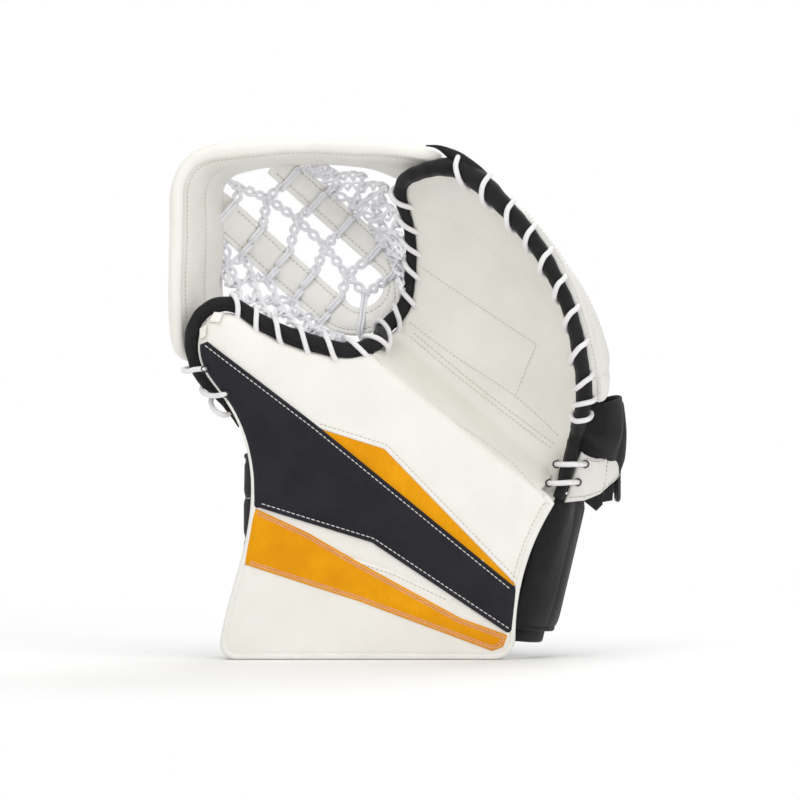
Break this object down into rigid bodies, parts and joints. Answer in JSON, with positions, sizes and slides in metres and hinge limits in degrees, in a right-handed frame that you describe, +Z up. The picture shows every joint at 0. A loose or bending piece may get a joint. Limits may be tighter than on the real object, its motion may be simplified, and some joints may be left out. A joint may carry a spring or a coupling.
{
  "type": "goalie catch glove",
  "caption": "Catching glove for an ice hockey goalkeeper: padded cuff and thumb, hinged finger half, laced palm, T web with corded nets, wrist guard and straps.",
  "frame": {"origin": "middle of the cuff's flat bottom edge, at half the cuff's thickness", "axes": "+X towards the finger side, +Y from the palm to the back of the hand, +Z up from the cuff to the web"},
  "size_m": [0.333, 0.1603, 0.375],
  "materials": {
    "white_leather": "satin coated synthetic leather, fine grain",
    "white_piping": "satin rolled edge",
    "palm_leather": "matte palm leather",
    "black_synthetic": "matte woven-backed synthetic",
    "amber_leather": "matte suede-like synthetic",
    "black_binding": "matte nylon binding",
    "lace": "waxed rawhide-style lace",
    "net_cord": "twisted nylon cord",
    "foam": "closed-cell foam",
    "board": "stiff sheet",
    "black_lining": "knitted lining",
    "hand_fabric": "brushed knit",
    "hook_and_loop": "hook and loop tape",
    "webbing": "woven webbing",
    "ring_plastic": "moulded",
    "guard_fabric": "soft padded knit"
  },
  "bodies": {
    "cuff_thumb": {"edge_piping": "white_piping", "cuff_skin": "white_leather", "cuff_board": "board", "cuff_foam": "foam", "cuff_lining": "black_lining", "black_panel": "black_synthetic", "yellow_wedge": "amber_leather", "yellow_band": "amber_leather", "thumb_edge_binding": "black_binding", "thumb_lace": "lace", "palm_thumb_side": "palm_leather", "thumb_stall": "hand_fabric", "t_band_thumb": "white_leather", "t_band_corner": "white_leather", "t_bar_thumb": "white_leather", "net_thumb": "net_cord", "net_slot": "net_cord", "wrist_wrap": "hand_fabric", "wrist_loop_patch": "hook_and_loop", "heel_tab": "white_leather", "heel_binding": "black_binding", "heel_lace": "lace", "pull_tab": "webbing"},
    "finger_half": {"palm_finger_side": "palm_leather", "palm_pad": "foam", "backhand_board": "board", "finger_back_shell": "white_leather", "hand_back_panel": "hand_fabric", "side_liner": "black_lining", "index_stall": "hand_fabric", "middle_stall": "hand_fabric", "ring_stall": "hand_fabric", "little_stall": "hand_fabric", "finger_edge_binding": "black_binding", "finger_lace": "lace", "pocket_edge_binding": "black_binding", "t_band_finger": "white_leather", "t_bar_finger": "white_leather", "net_finger": "net_cord", "hand_loop_patch": "hook_and_loop"},
    "strap_ring": {"strap_ring": "ring_plastic"},
    "wrist_strap": {"wrist_strap": "webbing", "wrist_hook_patch": "hook_and_loop"},
    "wrist_guard": {"wrist_guard": "guard_fabric", "guard_flap": "guard_fabric"},
    "hand_strap": {"hand_strap": "webbing", "hand_hook_patch": "hook_and_loop"}
  },
  "joints": [
    {"name": "glove_close", "type": "hinge", "parent": "cuff_thumb", "child": "finger_half", "pos_m": [0.1414, 0.015, 0.1385], "axis": [0.7384, -0.1483, -0.6579], "range_deg": [-12, 55], "deforming": ["t_band_corner", "net_slot"]},
    {"name": "ring_swing", "type": "hinge", "parent": "cuff_thumb", "child": "strap_ring", "pos_m": [0.186, 0.046, 0.1315], "axis": [0, 0, 1], "range_deg": [-25, 0]},
    {"name": "strap_open", "type": "hinge", "parent": "strap_ring", "child": "wrist_strap", "pos_m": [0.185, 0.055, 0.1315], "axis": [0, 0, -1], "range_deg": [0, 100]},
    {"name": "guard_flex", "type": "hinge", "parent": "cuff_thumb", "child": "wrist_guard", "pos_m": [0.138, 0.014, 0.106], "axis": [-0.272, 0, -0.9623], "range_deg": [-10, 12]},
    {"name": "hand_strap_open", "type": "hinge", "parent": "finger_half", "child": "hand_strap", "pos_m": [0.14547, 0.04615, 0.24954], "axis": [0.4919, -0.023, -0.8704], "range_deg": [0, 90]}
  ]
}
